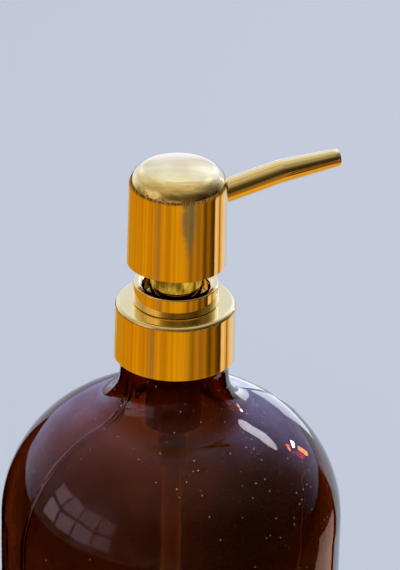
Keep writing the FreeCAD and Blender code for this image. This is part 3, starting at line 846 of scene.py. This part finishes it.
def lights():
    """A window at the left, lamps and pale walls at the right, light inside, and a soft fill."""
    window_light, wall_light, streak_light = (0.84, 0.80, 1.0), (0.80, 0.88, 1.0), (0.92, 0.94, 1.0)
    for column in range(4):
        for row in range(2):
            azimuth, elevation = 154 + column * 14.5, 8 + row * 14
            radiance = 2.3 - 0.42 * column - 0.35 * row
            name = f"window_{column}_{row}"
            pane = lamp(name, azimuth, elevation, 1.3, (0.28, 0.26), radiance, window_light)
            only_for(pane, [glass_piece])
    wall = lamp("wall", 48, -8, 0.35, (0.15, 0.11), 2.2, wall_light)
    wall_low = lamp("wall_low", -4.7, -26, 0.15, (0.06, 0.09), 1.0, (1.0, 0.70, 0.54), target=0.133)
    cards = [wall, wall_low]
    for size, radiance in (((0.56, 0.15), 8.0), ((0.50, 0.11), 22.0), ((0.43, 0.065), 50.0)):
        streak = lamp("streak", 27, 35.5, 1.2, size, radiance, streak_light)
        streak.data.shape = "ELLIPSE"
        streak.rotation_euler.rotate_axis("Z", math.radians(19.6))
        cards.append(streak)
    for card in cards:
        card.visible_transmission = False
        only_for(card, [glass_piece])
    inside = lamp("inside", 200, 35, 0.5, (0.4, 0.4), 7.0, (1.0, 0.42, 0.20), target=0.15)
    only_for(inside, [frame["nodes"][name] for name in ("dip_tube", "inlet_ball_cage")])
    through_all(inside)
    under_head = lamp("under_head", 240, -60, 0.5, (0.4, 0.4), 12.0, (1.0, 0.82, 0.40), target=0.17)
    only_for(under_head, [frame["nodes"]["head_core"]])
    through_all(under_head)
    lamp("spark", 21.5, 15, 1.2, (0.06, 0.04), 200.0)
    lamp("spark_tail", 20.5, 8, 1.2, (0.05, 0.16), 14.0, (1.0, 0.3, 0.08))
    fill = lamp("fill", 240, 70, 3.0, (3.0, 3.0), 1.1)
    fill.visible_glossy = False


def world():
    """The room: bright behind the bottle, dimmer overhead and in front, cluttered low down."""
    made = bpy.data.worlds.new("studio")
    bpy.context.scene.world = made
    n = Nodes(world=made)
    where = n.add("ShaderNodeTexCoord").outputs["Generated"]
    back = n.span(n.along(where, BACK), 0.0, 1.0, -1.0, 1.0)
    sky = n.ramp(
        back,
        [
            (0.02, (0.17, 0.11, 0.07)),
            (0.11, (0.27, 0.23, 0.18)),
            (0.21, (0.37, 0.33, 0.26)),
            (0.36, (0.49, 0.44, 0.38)),
            (0.52, (0.57, 0.55, 0.56)),
            (0.70, (0.70, 0.75, 0.98)),
            (0.83, (0.82, 0.95, 1.42)),
            (0.90, (0.84, 1.00, 1.68)),
        ],
    )
    right = n.span(n.along(where, (0.86, -0.48, 0.12)), 1.0, 0.22, 0.52, 0.93)
    up = n.along(where, (0, 0, 1))
    low = n.maths("MULTIPLY", n.span(up, 1.0, 0.0, 0.13, 0.38), n.span(back, 1.0, 0.0, 0.55, 0.75))
    leftwards = n.span(n.along(where, (-0.87, -0.5, 0)), -0.06, 0.10)
    patches = n.maths("ADD", n.noise(where, 9.0, 3.0), leftwards)
    clutter = n.ramp(patches, [(0.40, (0.03, 0.02, 0.012)), (0.62, (0.50, 0.38, 0.28))])
    colour = n.mixed(sky, clutter, low)

    def glow(azimuth, elevation, inner, outer):
        """A soft round patch in this direction, full within inner degrees and gone by outer."""
        a, e = math.radians(azimuth), math.radians(elevation)
        way = (math.cos(a) * math.cos(e), math.sin(a) * math.cos(e), math.sin(e))
        edges = math.cos(math.radians(outer)), math.cos(math.radians(inner))
        return n.span(n.along(where, way), 0.0, 1.0, *edges)

    def brightened(before, tone, share):
        made = n.add("ShaderNodeMix", data_type="RGBA", blend_type="ADD")
        n.link(before, made.inputs[6])
        made.inputs[7].default_value = rgba(tone)
        n.link(share, made.inputs["Factor"])
        return made.outputs[2]

    dull_patches = [
        ((0.34, 0.30, 0.30), 0.3, (135, 38, 12, 42)),
        ((0.07, 0.055, 0.035), 0.85, (-78, 10, 22, 42)),
        ((0.08, 0.06, 0.04), 0.7, (-126, 24, 8, 22)),
    ]
    for tone, share, patch in dull_patches:
        colour = n.mixed(colour, tone, n.maths("MULTIPLY", glow(*patch), share))
    colour = brightened(colour, (0.34, 0.34, 0.46), glow(-178, 21, 10, 24))
    colour = brightened(colour, (0.20, 0.34, 1.10), glow(30, 32, 5, 27))
    haze = n.span(n.noise(where, 3.4, 4.0), 0.78, 1.16, 0.35, 0.65)
    n.link(colour, n.shader.inputs["Color"])
    n.link(n.maths("MULTIPLY", right, haze), n.shader.inputs["Strength"])


def camera():
    """A long lens, a little above the pump, as a tabletop product is photographed."""
    data = bpy.data.cameras.new("camera")
    data.sensor_width = 36.0
    data.lens = 252.63
    data.clip_start, data.clip_end = 0.01, 50.0
    item = placed("camera", data)
    place, aim = Vector((-0.41650, -0.85395, 0.70410)), Vector((0.005803, -0.002714, 0.214184))
    level = (aim - place).to_track_quat("-Z", "Y").to_matrix()
    tilt = Matrix.Rotation(math.radians(1.435), 3, "Z")
    item.matrix_world = Matrix.Translation(place) @ (level @ tilt).to_4x4()
    bpy.context.scene.camera = item


glass_piece = bottle()
stem_piece = sleeve()
gold_pieces = [collar(), cup_ring(), stem_piece, head(), spout()]
spring()
finish_nodes()
camera()
world()
lights()
floor()
bounce_board()
cup_glow()
glow_card()
bpy.context.scene.view_settings.view_transform = "Standard"
